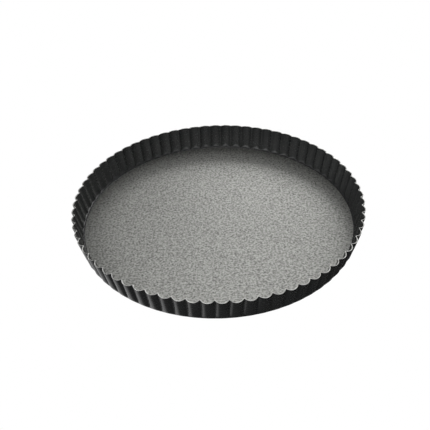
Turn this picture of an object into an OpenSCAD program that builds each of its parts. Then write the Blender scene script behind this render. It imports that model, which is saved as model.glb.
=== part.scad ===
// Loose-bottomed tart pan, in millimetres.
// The ring is one pressed sheet: a fluted wall, a round heel, and a flat ledge turned inwards.
// The base is a flat disc that lies on the ledge and lifts out.
// +Z is up. The origin is the centre of the pan, on the ground. One flute's crest is at +X.

/* [Pan] */
// Diameter of the rim, across the crests of the flutes
rim_d = 280; // [240:5:320]
// Height of the rim above the ground
rim_h = 26.5; // [22:0.5:35]
// Thickness of the ring's sheet
sheet = 0.8; // [0.5:0.1:1.2]
// Lean of the wall away from vertical, in degrees
wall_lean = 12; // [8:0.1:16]
// Outside radius of the round heel between the wall and the ledge
heel_r = 3; // [3:0.5:4.5]

/* [Flutes] */
// Number of flutes around the wall
flutes = 72; // [60:4:80]
// Depth of a flute at the rim
rim_depth = 2.9; // [2.4:0.1:3.6]
// How far the rim dips at the crests, as the sheet keeps its length where it leans out furthest
rim_wave = 0.9; // [0:0.1:1.2]
// Depth of a flute where it is fully formed, above the heel
foot_depth = 2.2; // [1:0.1:2.4]
// Height at which the flutes are fully formed
formed_h = 5; // [4.5:0.5:9]
// Outside radius of the groove between two flutes
groove_r = 0.4; // [0.3:0.1:0.8]

/* [Ledge and base] */
// Width of the flat ledge, from the heel inwards
ledge_w = 10; // [6:0.5:15]
// Thickness of the loose base
base_t = 0.8; // [0.6:0.1:1.5]
// Gap between the base's flat underside and the start of the heel
base_gap = 0.1; // [0.1:0.1:1]

/* [Hidden] */

// The wall's mean line runs halfway between the crests and the grooves, tangent to the heel's arc.
half_pitch = 180 / flutes;
heel_top_z = heel_r * (1 - sin(wall_lean));
heel_top_r = (rim_d - rim_depth) / 2 - (rim_h - heel_top_z) * tan(wall_lean);
foot_r = heel_top_r - heel_r * cos(wall_lean);
ledge_r = foot_r - ledge_w;
// The base's cut edge has a chamfer on both sides, which lets it reach out over the heel's start.
base_edge = 0.25;
base_r = foot_r - base_gap + base_edge;
// Height on the heel where the flutes begin.
flute_start_z = 0.4;

// Where the mesh has a column, as fractions of the angle from a crest to the next groove.
column_steps = [-0.8, -0.45, 0, 0.45, 0.8, 1];
column_angles = [
    for (flute = [0 : flutes - 1])
        for (step = column_steps)
            [flute * 2 * half_pitch, step * half_pitch]
];

function smooth(t) = t * t * (3 - 2 * t);

// Depth of the flutes at height z: none at the foot, formed above the heel, deepest at the rim.
function depth_at(z) =
    z <= flute_start_z ? 0
    : z < formed_h ? foot_depth * smooth((z - flute_start_z) / (formed_h - flute_start_z))
    : foot_depth + (rim_depth - foot_depth) * (z - formed_h) / (rim_h - formed_h);

// How far the crests lie below the grooves at height z: the rim waves up and down with the flutes.
function dip_at(z) = rim_wave * max(z - formed_h, 0) / (rim_h - formed_h);

// Radius of the fluted outline at an angle from the crest. mean is the wall's mean radius,
// depth is the flute's depth, and groove is the radius of the groove's own small arc.
// Each flute is one arc about a point on its crest line, tangent to the arcs of both grooves.
function outline_r(mean, depth, groove, angle) =
    let (
        crest = mean + depth / 2,
        groove_c = mean - depth / 2 + groove,
        along = groove_c * cos(half_pitch) - crest,
        across = groove_c * sin(half_pitch),
        lobe_r = (along * along + across * across - groove * groove) / (2 * (groove - along)),
        lobe_c = crest - lobe_r,
        turn = atan2(across, along + lobe_r),
        tangent = atan2(lobe_r * sin(turn), lobe_c + lobe_r * cos(turn)),
        from_crest = abs(angle),
        from_groove = half_pitch - from_crest
    )
    from_crest <= tangent
        ? lobe_c * cos(from_crest) + sqrt(pow(lobe_r, 2) - pow(lobe_c * sin(from_crest), 2))
        : groove_c * cos(from_groove) - sqrt(pow(groove, 2) - pow(groove_c * sin(from_groove), 2));

// Levels [mean radius, z, flute depth, groove radius] of the skin at a depth of inset in the
// sheet, from the ledge's edge out to the heel and up to the rim. The outside skin has inset 0.
function heel_level(inset, sweep) =
    let (z = heel_r - (heel_r - inset) * cos(sweep))
    [foot_r + (heel_r - inset) * sin(sweep), z, depth_at(z), groove_r + inset];
function wall_level(inset, z) =
    [
        heel_top_r + (z - heel_top_z) * tan(wall_lean) - inset / cos(wall_lean),
        z, depth_at(z), groove_r + inset
    ];
function skin(inset) =
    [
        [ledge_r, inset, 0, groove_r],
        for (sweep = [0, 40, 90 - wall_lean]) heel_level(inset, sweep),
        for (z = [formed_h, rim_h]) wall_level(inset, z)
    ];
function reversed(list) = [for (i = [len(list) - 1 : -1 : 0]) list[i]];

// One sheet of metal, as a closed mesh: a loop of levels around the sheet's cross-section,
// swept round the pan through every column.
module pressed_ring() {
    levels = concat(skin(0), reversed(skin(sheet)));
    level_n = len(levels);
    column_n = len(column_angles);
    points = [
        for (level = levels)
            for (column = column_angles)
                let (
                    r = outline_r(level[0], level[2], level[3], column[1]),
                    a = column[0] + column[1],
                    out = level[2] > 0 ? (r - level[0]) / level[2] + 0.5 : 0
                )
                [r * cos(a), r * sin(a), level[1] - dip_at(level[1]) * out]
    ];
    function at(level, column) = (level % level_n) * column_n + column % column_n;
    faces = [
        for (i = [0 : level_n - 1])
            for (j = [0 : column_n - 1])
                for (triangle = [
                    [at(i, j), at(i + 1, j), at(i + 1, j + 1)],
                    [at(i, j), at(i + 1, j + 1), at(i, j + 1)]
                ])
                    triangle
    ];
    polyhedron(points = points, faces = faces, convexity = 6);
}

module fluted_ring() {
    color([0.13, 0.13, 0.14]) pressed_ring();
}

// The base lies flat on the ledge and isn't fastened to it.
module loose_base() {
    color([0.55, 0.55, 0.53])
        translate([0, 0, sheet])
            rotate_extrude($fn = 240)
                polygon([
                    [0, 0],
                    [base_r - base_edge, 0],
                    [base_r, base_edge],
                    [base_r, base_t - base_edge],
                    [base_r - base_edge, base_t],
                    [0, base_t]
                ]);
}

fluted_ring();
loose_base();
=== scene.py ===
"""Loose-bottomed tart pan on a white table. Metres, +Z up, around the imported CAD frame."""
import math

import bmesh
import bpy
from mathutils import Matrix, Vector


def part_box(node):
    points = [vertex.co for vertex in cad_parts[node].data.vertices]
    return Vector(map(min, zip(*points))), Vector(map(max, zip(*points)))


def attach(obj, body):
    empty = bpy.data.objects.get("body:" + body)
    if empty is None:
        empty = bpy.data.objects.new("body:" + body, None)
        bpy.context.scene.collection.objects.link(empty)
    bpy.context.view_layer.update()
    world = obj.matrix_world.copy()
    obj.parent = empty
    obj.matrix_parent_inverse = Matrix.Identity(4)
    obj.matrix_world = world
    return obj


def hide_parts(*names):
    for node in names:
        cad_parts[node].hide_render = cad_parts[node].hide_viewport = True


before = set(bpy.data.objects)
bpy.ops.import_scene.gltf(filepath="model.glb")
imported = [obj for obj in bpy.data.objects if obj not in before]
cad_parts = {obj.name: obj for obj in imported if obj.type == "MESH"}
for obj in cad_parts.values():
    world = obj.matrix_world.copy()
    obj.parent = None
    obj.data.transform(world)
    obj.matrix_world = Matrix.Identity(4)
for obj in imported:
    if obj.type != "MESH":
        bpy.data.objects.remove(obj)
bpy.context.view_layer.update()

# Sizes that the frame gives.
RING_LOW, RING_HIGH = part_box("fluted_ring")
BASE_LOW, BASE_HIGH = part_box("loose_base")
RIM_R = RING_HIGH.x
RIM_Z = RING_HIGH.z
SHEET = BASE_LOW.z - RING_LOW.z
BASE_R = BASE_HIGH.x

# The ring's own design values, as in the CAD model.
FLUTES = 72
WALL_LEAN = math.radians(12)
HEEL_R = 0.003
RIM_DEPTH = 0.0029
RIM_WAVE = 0.0009
FOOT_DEPTH = 0.0022
FORMED_Z = 0.005
FLUTE_START_Z = 0.0004
GROOVE_R = 0.0004
LEDGE_W = 0.010

HALF_PITCH = math.pi / FLUTES
HEEL_TOP_Z = HEEL_R * (1 - math.sin(WALL_LEAN))
HEEL_TOP_R = RIM_R - RIM_DEPTH / 2 - (RIM_Z - HEEL_TOP_Z) * math.tan(WALL_LEAN)
FOOT_R = HEEL_TOP_R - HEEL_R * math.cos(WALL_LEAN)
LEDGE_R = FOOT_R - LEDGE_W

# How finely the visible meshes are cut.
COLUMNS_PER_FLUTE = 16
HEEL_ROWS = 10
WALL_ROWS = 12
EDGE_ROWS = 6
CORNER_ROWS = 3
BASE_SEGMENTS = 360

# The rounding of the corners where the rim and the base were cut.
RIM_CORNER_R = 0.00012
BASE_CORNER_R = 0.0002

# The camera: where it stands about the middle of the rim, and where on the rim's plane it aims.
CAMERA_DISTANCE = 0.6493
CAMERA_ELEVATION = math.radians(36.61)
CAMERA_AZIMUTH = math.radians(-0.28)
CAMERA_ROLL = math.radians(-2.12)
CAMERA_LENS_MM = 56.49
AIM = Vector((-0.0032, -0.0256, 0))

# The backdrop is a dome round the table, and both are white to the camera only.
BACKDROP_R = 3.0
BACKDROP_SEGMENTS = 96

# The lamps point here.
PAN_CENTRE = Vector((0, 0, 0))

# How bright the studio is: the world's radiance and the lamps' watts.
SKY_EVEN = 0.02
SKY_BACK = 0.24
GROUND_EVEN = 0.05
GROUND_CARD = 0.8
BACK_LOW_W = 1.7
BACK_HIGH_W = 3.2
BACK_RIGHT_W = 1.7
BACK_RIGHT_LOW_W = 3.8
FRONT_W = 5.5
FRONT_LEFT_W = 6.5
FRONT_RIGHT_W = 3
SIDE_LEFT_W = 2.5
SIDE_RIGHT_W = 1.6
TOP_W = 3


def smooth(t):
    """Ease from 0 to 1, level at both ends."""
    return t * t * (3 - 2 * t)


def depth_at(z):
    """Depth of the flutes at height z: none at the foot, formed above the heel, deepest at the rim."""
    if z <= FLUTE_START_Z:
        return 0
    if z < FORMED_Z:
        return FOOT_DEPTH * smooth((z - FLUTE_START_Z) / (FORMED_Z - FLUTE_START_Z))
    return FOOT_DEPTH + (RIM_DEPTH - FOOT_DEPTH) * (z - FORMED_Z) / (RIM_Z - FORMED_Z)


def dip_at(z):
    """How far the crests lie below the grooves at height z: the rim waves up and down with the flutes."""
    return RIM_WAVE * max(z - FORMED_Z, 0) / (RIM_Z - FORMED_Z)


def outline_r(mean, depth, groove, angle):
    """Radius of the fluted outline at an angle from a crest.

    The outline has one arc, the lobe, to each flute, tangent to the small arcs of the grooves beside it.
    """
    crest = mean + depth / 2
    groove_c = mean - depth / 2 + groove
    along = groove_c * math.cos(HALF_PITCH) - crest
    across = groove_c * math.sin(HALF_PITCH)
    lobe_r = (along**2 + across**2 - groove**2) / (2 * (groove - along))
    lobe_c = crest - lobe_r
    turn = math.atan2(across, along + lobe_r)
    tangent = math.atan2(lobe_r * math.sin(turn), lobe_c + lobe_r * math.cos(turn))
    if abs(angle) <= tangent:
        return lobe_c * math.cos(angle) + math.sqrt(lobe_r**2 - (lobe_c * math.sin(angle)) ** 2)
    rest = HALF_PITCH - abs(angle)
    inside = max(groove**2 - (groove_c * math.sin(rest)) ** 2, 0)
    return groove_c * math.cos(rest) - math.sqrt(inside)


def skin(inset):
    """Levels of one skin of the sheet, from the ledge round the heel and up the wall to the rim's corner.

    A level is (mean radius, z, depth of the flutes, groove radius). The inset is 0 on the outer skin.
    """
    levels = [(LEDGE_R + SHEET / 2, inset, 0, GROOVE_R + inset)]
    for i in range(HEEL_ROWS + 1):
        sweep = (math.pi / 2 - WALL_LEAN) * i / HEEL_ROWS
        z = HEEL_R - (HEEL_R - inset) * math.cos(sweep)
        levels.append((FOOT_R + (HEEL_R - inset) * math.sin(sweep), z, depth_at(z), GROOVE_R + inset))
    low = levels[-1][1]
    top = RIM_Z - RIM_CORNER_R
    for i in range(1, WALL_ROWS + 1):
        z = low + (top - low) * smooth(i / WALL_ROWS)
        mean = HEEL_TOP_R + (z - HEEL_TOP_Z) * math.tan(WALL_LEAN) - inset / math.cos(WALL_LEAN)
        levels.append((mean, z, depth_at(z), GROOVE_R + inset))
    return levels


def cut_edge(start, end):
    """Levels of the trimmed rim between two skins: flat across the sheet, with small round corners."""
    levels = []
    climb = range(CORNER_ROWS + 1)
    for wall, other, steps in ((start, end, climb), (end, start, reversed(climb))):
        inwards = math.copysign(RIM_CORNER_R, other[0] - wall[0])
        for i in steps:
            turn = math.pi / 2 * i / CORNER_ROWS
            share = (1 - math.cos(turn)) * RIM_CORNER_R / SHEET
            groove = wall[3] + (other[3] - wall[3]) * share
            r = wall[0] + inwards * (1 - math.cos(turn))
            levels.append((r, wall[1] + RIM_CORNER_R * math.sin(turn), wall[2], groove))
    return levels[1:-1]


def rounded_edge(start, end, bulge):
    """Levels that join two skins by a half circle, bulging along (radius, z)."""
    middle = [(a + b) / 2 for a, b in zip(start, end)]
    half = [(a - b) / 2 for a, b in zip(start, end)]
    levels = []
    for i in range(1, EDGE_ROWS):
        turn = math.pi * i / EDGE_ROWS
        level = [m + h * math.cos(turn) for m, h in zip(middle, half)]
        level[0] += bulge[0] * math.sin(turn)
        level[1] += bulge[1] * math.sin(turn)
        levels.append(tuple(level))
    return levels


def column_angles():
    """(angle of the flute's crest, angle from it) of each column, closer together beside the grooves."""
    angles = []
    for flute in range(FLUTES):
        for i in range(COLUMNS_PER_FLUTE):
            t = 2 * (i + 1) / COLUMNS_PER_FLUTE - 1
            eased = math.sin(t * math.pi / 2) * 0.5 + t * 0.5
            angles.append((flute * 2 * HALF_PITCH, eased * HALF_PITCH))
    return angles


def new_object(name, mesh, body, node):
    """Add a visible piece that rides on a body and stands for a CAD node."""
    piece = bpy.data.objects.new(name, mesh)
    bpy.context.collection.objects.link(piece)
    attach(piece, body)
    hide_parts(node)


def mesh_from(name, points, faces):
    """A smooth mesh whose faces all point outwards."""
    mesh = bpy.data.meshes.new(name)
    mesh.from_pydata(points, [], faces)
    bm = bmesh.new()
    bm.from_mesh(mesh)
    bmesh.ops.recalc_face_normals(bm, faces=bm.faces)
    bm.to_mesh(mesh)
    bm.free()
    mesh.shade_smooth()
    return mesh


def pressed_ring(coating, edge):
    """The fluted ring: a loop of levels around the sheet's cross-section, swept through every column."""
    outside = skin(0)
    inside = skin(SHEET)
    rim = cut_edge(outside[-1], inside[-1])
    ledge_edge = rounded_edge(inside[0], outside[0], (-SHEET / 2, 0))
    levels = outside + rim + inside[::-1] + ledge_edge
    columns = column_angles()
    points = []
    for mean, z, depth, groove in levels:
        for crest_angle, angle in columns:
            r = outline_r(mean, depth, groove, angle)
            a = crest_angle + angle
            out = (r - mean) / depth + 0.5 if depth else 0
            points.append((r * math.cos(a), r * math.sin(a), z - dip_at(z) * out))
    count = len(columns)
    faces = []
    for i in range(len(levels)):
        below = i * count
        above = (i + 1) % len(levels) * count
        for j in range(count):
            k = (j + 1) % count
            faces.append((below + j, below + k, above + k, above + j))
    mesh = mesh_from("fluted_ring_sheet", points, faces)
    mesh.materials.append(coating)
    mesh.materials.append(edge)
    for row in range(len(outside), len(outside) + len(rim) - 1):
        for j in range(count):
            mesh.polygons[row * count + j].material_index = 1
    new_object("fluted_ring_sheet", mesh, "ring", "fluted_ring")


def base_disc(coating):
    """The loose base: a flat disc with small round corners on its cut edge."""
    rings = [(BASE_R * part, BASE_LOW.z) for part in (0.25, 0.5, 0.75)]
    corners = ((BASE_LOW.z + BASE_CORNER_R, -math.pi / 2), (BASE_HIGH.z - BASE_CORNER_R, 0))
    for corner_z, start in corners:
        for i in range(CORNER_ROWS + 1):
            turn = start + math.pi / 2 * i / CORNER_ROWS
            r = BASE_R - BASE_CORNER_R * (1 - math.cos(turn))
            rings.append((r, corner_z + BASE_CORNER_R * math.sin(turn)))
    rings += [(BASE_R * part, BASE_HIGH.z) for part in (0.75, 0.5, 0.25)]
    points = []
    for r, z in rings:
        for j in range(BASE_SEGMENTS):
            a = 2 * math.pi * j / BASE_SEGMENTS
            points.append((r * math.cos(a), r * math.sin(a), z))
    faces = []
    for i in range(len(rings) - 1):
        below = i * BASE_SEGMENTS
        above = below + BASE_SEGMENTS
        for j in range(BASE_SEGMENTS):
            k = (j + 1) % BASE_SEGMENTS
            faces.append((below + j, below + k, above + k, above + j))
    for centre_z, ring in ((BASE_LOW.z, 0), (BASE_HIGH.z, len(rings) - 1)):
        points.append((0, 0, centre_z))
        hub = len(points) - 1
        for j in range(BASE_SEGMENTS):
            k = (j + 1) % BASE_SEGMENTS
            faces.append((ring * BASE_SEGMENTS + j, ring * BASE_SEGMENTS + k, hub))
    mesh = mesh_from("loose_base_disc", points, faces)
    mesh.materials.append(coating)
    new_object("loose_base_disc", mesh, "base", "loose_base")


def new_material(name):
    """A node material, with its nodes, its links and its shader."""
    material = bpy.data.materials.new(name)
    material.use_nodes = True
    nodes = material.node_tree.nodes
    return material, nodes, material.node_tree.links, nodes["Principled BSDF"]


def noise(nodes, links, coords, scale, detail, roughness=0.5):
    """Noise in the piece's own space, so that it stays on the piece when it moves."""
    node = nodes.new("ShaderNodeTexNoise")
    node.inputs["Scale"].default_value = scale
    node.inputs["Detail"].default_value = detail
    node.inputs["Roughness"].default_value = roughness
    links.new(coords.outputs["Object"], node.inputs["Vector"])
    return node.outputs["Fac"]


def spread(nodes, links, value, low, high):
    """Map a noise value, which mostly lies from 0.3 to 0.7, onto low to high."""
    node = nodes.new("ShaderNodeMapRange")
    node.inputs["From Min"].default_value = 0.3
    node.inputs["From Max"].default_value = 0.7
    node.inputs["To Min"].default_value = low
    node.inputs["To Max"].default_value = high
    links.new(value, node.inputs["Value"])
    return node.outputs["Result"]


def ramp(nodes, links, value, stops):
    """Colour a value by stops, each (position, colour)."""
    node = nodes.new("ShaderNodeValToRGB")
    node.color_ramp.elements[0].position = stops[0][0]
    node.color_ramp.elements[0].color = (*stops[0][1], 1)
    node.color_ramp.elements[1].position = stops[-1][0]
    node.color_ramp.elements[1].color = (*stops[-1][1], 1)
    for position, colour in stops[1:-1]:
        node.color_ramp.elements.new(position).color = (*colour, 1)
    links.new(value, node.inputs["Fac"])
    return node.outputs["Color"]


def bump(nodes, links, height, distance, strength, shader):
    node = nodes.new("ShaderNodeBump")
    node.inputs["Distance"].default_value = distance
    node.inputs["Strength"].default_value = strength
    links.new(height, node.inputs["Height"])
    links.new(node.outputs["Normal"], shader.inputs["Normal"])


def black_coating():
    """Satin black non-stick coating of the ring, with a fine grain."""
    material, nodes, links, shader = new_material("nonstick_black")
    coords = nodes.new("ShaderNodeTexCoord")
    patches = noise(nodes, links, coords, 60, 3)
    grain = noise(nodes, links, coords, 900, 3, 0.6)
    colour = ramp(nodes, links, patches, [(0.3, (0.019, 0.020, 0.020)), (0.7, (0.024, 0.025, 0.025))])
    links.new(colour, shader.inputs["Base Color"])
    links.new(spread(nodes, links, grain, 0.2, 0.3), shader.inputs["Roughness"])
    shader.inputs["Specular IOR Level"].default_value = 0.3
    bump(nodes, links, grain, 0.0001, 0.25, shader)
    return material


def worn_edge():
    """Bare steel where the rim was cut, dull in patches."""
    material, nodes, links, shader = new_material("rim_edge_steel")
    coords = nodes.new("ShaderNodeTexCoord")
    wear = noise(nodes, links, coords, 250, 3, 0.6)
    colour = ramp(nodes, links, wear, [(0.35, (0.34, 0.34, 0.33)), (0.6, (0.62, 0.62, 0.60))])
    links.new(colour, shader.inputs["Base Color"])
    links.new(spread(nodes, links, wear, 0.42, 0.3), shader.inputs["Roughness"])
    shader.inputs["Metallic"].default_value = 0.9
    return material


def grey_coating():
    """Speckled metallic grey non-stick coating of the base."""
    material, nodes, links, shader = new_material("nonstick_grey")
    coords = nodes.new("ShaderNodeTexCoord")
    flakes = noise(nodes, links, coords, 520, 2, 0.65)
    greys = [(0.3, (0.14, 0.14, 0.133)), (0.5, (0.335, 0.337, 0.32)), (0.7, (0.5, 0.503, 0.478))]
    links.new(ramp(nodes, links, flakes, greys), shader.inputs["Base Color"])
    links.new(spread(nodes, links, flakes, 0.5, 0.38), shader.inputs["Roughness"])
    shader.inputs["Metallic"].default_value = 0.9
    bump(nodes, links, flakes, 0.0002, 0.4, shader)
    return material


def stage_piece(name, mesh, material):
    """A piece of the stage that only the camera sees. Reflections see the studio's lights instead."""
    mesh.materials.append(material)
    piece = bpy.data.objects.new(name, mesh)
    piece.visible_diffuse = False
    piece.visible_glossy = False
    piece.visible_shadow = False
    bpy.context.collection.objects.link(piece)


def white_glow(name):
    """White that no light changes."""
    material, nodes, links, shader = new_material(name)
    shader.inputs["Base Color"].default_value = (0, 0, 0, 1)
    shader.inputs["Specular IOR Level"].default_value = 0
    shader.inputs["Emission Color"].default_value = (1, 1, 1, 1)
    shader.inputs["Emission Strength"].default_value = 1
    return material, nodes, links, shader


def table():
    """A round table under the pan. From below it is clear, so that the pan's underside can be seen."""
    material, nodes, links, shader = white_glow("table_white")
    side = nodes.new("ShaderNodeNewGeometry")
    clear = nodes.new("ShaderNodeBsdfTransparent")
    mix = nodes.new("ShaderNodeMixShader")
    links.new(side.outputs["Backfacing"], mix.inputs["Fac"])
    links.new(shader.outputs["BSDF"], mix.inputs[1])
    links.new(clear.outputs["BSDF"], mix.inputs[2])
    links.new(mix.outputs["Shader"], nodes["Material Output"].inputs["Surface"])
    mesh = bpy.data.meshes.new("table")
    bm = bmesh.new()
    bmesh.ops.create_circle(bm, cap_ends=True, radius=BACKDROP_R, segments=BACKDROP_SEGMENTS)
    bm.to_mesh(mesh)
    bm.free()
    stage_piece("table", mesh, material)


def backdrop():
    """A white dome round everything, so that no view shows an edge or a horizon."""
    material = white_glow("backdrop_white")[0]
    mesh = bpy.data.meshes.new("backdrop")
    bm = bmesh.new()
    rows = BACKDROP_SEGMENTS // 2
    bmesh.ops.create_uvsphere(bm, u_segments=BACKDROP_SEGMENTS, v_segments=rows, radius=BACKDROP_R)
    bm.to_mesh(mesh)
    bm.free()
    stage_piece("backdrop", mesh, material)


def area_light(name, place, width, height, power):
    """A rectangular lamp that points at the pan."""
    light = bpy.data.lights.new(name, "AREA")
    light.shape = "RECTANGLE"
    light.size = width
    light.size_y = height
    light.energy = power
    lamp = bpy.data.objects.new(name, light)
    lamp.location = place
    lamp.rotation_euler = (PAN_CENTRE - Vector(place)).to_track_quat("-Z", "Y").to_euler()
    bpy.context.collection.objects.link(lamp)


def arithmetic(nodes, links, operation, *values):
    """A Math node. Each value is a number or the socket that it comes from."""
    node = nodes.new("ShaderNodeMath")
    node.operation = operation
    for socket, value in zip(node.inputs, values):
        if isinstance(value, (int, float)):
            socket.default_value = value
        else:
            links.new(value, socket)
    return node.outputs["Value"]


def ease(nodes, links, value, start, end, low, high):
    """Go smoothly from low to high while the value goes from start to end."""
    node = nodes.new("ShaderNodeMapRange")
    node.interpolation_type = "SMOOTHSTEP"
    for name, number in (("From Min", start), ("From Max", end), ("To Min", low), ("To Max", high)):
        node.inputs[name].default_value = number
    links.new(value, node.inputs["Value"])
    return node.outputs["Result"]


def surroundings():
    """A pale studio: brighter towards the back above the horizon, a white card low on the left below it."""
    world = bpy.data.worlds.new("studio")
    world.use_nodes = True
    bpy.context.scene.world = world
    nodes, links = world.node_tree.nodes, world.node_tree.links
    coords = nodes.new("ShaderNodeTexCoord")
    split = nodes.new("ShaderNodeSeparateXYZ")
    links.new(coords.outputs["Generated"], split.inputs["Vector"])
    x, y, z = split.outputs
    back = arithmetic(nodes, links, "MAXIMUM", y, 0)
    above = arithmetic(nodes, links, "MULTIPLY_ADD", back, SKY_BACK, SKY_EVEN)
    half_back = arithmetic(nodes, links, "MULTIPLY", y, 0.5)
    leftwards = arithmetic(nodes, links, "MULTIPLY_ADD", x, -1, half_back)
    below = ease(nodes, links, leftwards, 0.2, 0.5, GROUND_EVEN, GROUND_CARD)
    blend = nodes.new("ShaderNodeMix")
    links.new(ease(nodes, links, z, -0.05, 0.05, 0, 1), blend.inputs["Factor"])
    links.new(below, blend.inputs["A"])
    links.new(above, blend.inputs["B"])
    background = nodes["Background"]
    background.inputs["Color"].default_value = (1, 1, 1, 1)
    links.new(blend.outputs["Result"], background.inputs["Strength"])


def studio():
    """The world's light and the lamps: each lamp's place, width, height and watts."""
    surroundings()
    bpy.context.scene.view_settings.view_transform = "Standard"
    area_light("strip_back_low", (0.15, 1.2, 0.55), 0.5, 0.4, BACK_LOW_W)
    area_light("softbox_back_high", (0, 0.8, 1.3), 1.0, 0.6, BACK_HIGH_W)
    area_light("softbox_back_right", (0.9, 0.9, 0.8), 0.7, 0.7, BACK_RIGHT_W)
    area_light("strip_back_right_low", (1.0, 1.0, 0.5), 0.7, 0.4, BACK_RIGHT_LOW_W)
    area_light("fill_front", (0, -1.3, 0.5), 0.9, 0.5, FRONT_W)
    area_light("fill_front_left", (-0.9, -0.9, 0.6), 0.8, 0.6, FRONT_LEFT_W)
    area_light("fill_front_right", (0.9, -0.9, 0.6), 0.8, 0.6, FRONT_RIGHT_W)
    area_light("fill_side_left", (-1.3, 0, 0.5), 0.8, 0.6, SIDE_LEFT_W)
    area_light("fill_side_right", (1.3, 0, 0.5), 0.8, 0.6, SIDE_RIGHT_W)
    area_light("softbox_top", (0, 0, 1.5), 0.8, 0.8, TOP_W)


def camera():
    """Stand at an elevation about the middle of the rim, aim at a point on its plane, then roll."""
    turn = Matrix.Rotation(CAMERA_AZIMUTH, 3, "Z")
    middle = Vector((0, 0, RIM_Z))
    offset = Vector((0, -math.cos(CAMERA_ELEVATION), math.sin(CAMERA_ELEVATION))) * CAMERA_DISTANCE
    eye = middle + turn @ offset
    forward = (middle + turn @ AIM - eye).normalized()
    right = forward.cross(Vector((0, 0, 1))).normalized()
    up = right.cross(forward)
    rolled_right = right * math.cos(CAMERA_ROLL) + up * math.sin(CAMERA_ROLL)
    rolled_up = up * math.cos(CAMERA_ROLL) - right * math.sin(CAMERA_ROLL)
    data = bpy.data.cameras.new("camera")
    data.sensor_width = 36
    data.lens = CAMERA_LENS_MM
    data.clip_start = 0.01
    lens = bpy.data.objects.new("camera", data)
    axes = Matrix((rolled_right, rolled_up, -forward)).transposed()
    lens.matrix_world = Matrix.Translation(eye) @ axes.to_4x4()
    bpy.context.collection.objects.link(lens)
    bpy.context.scene.camera = lens


camera()
pressed_ring(black_coating(), worn_edge())
base_disc(grey_coating())
table()
backdrop()
studio()
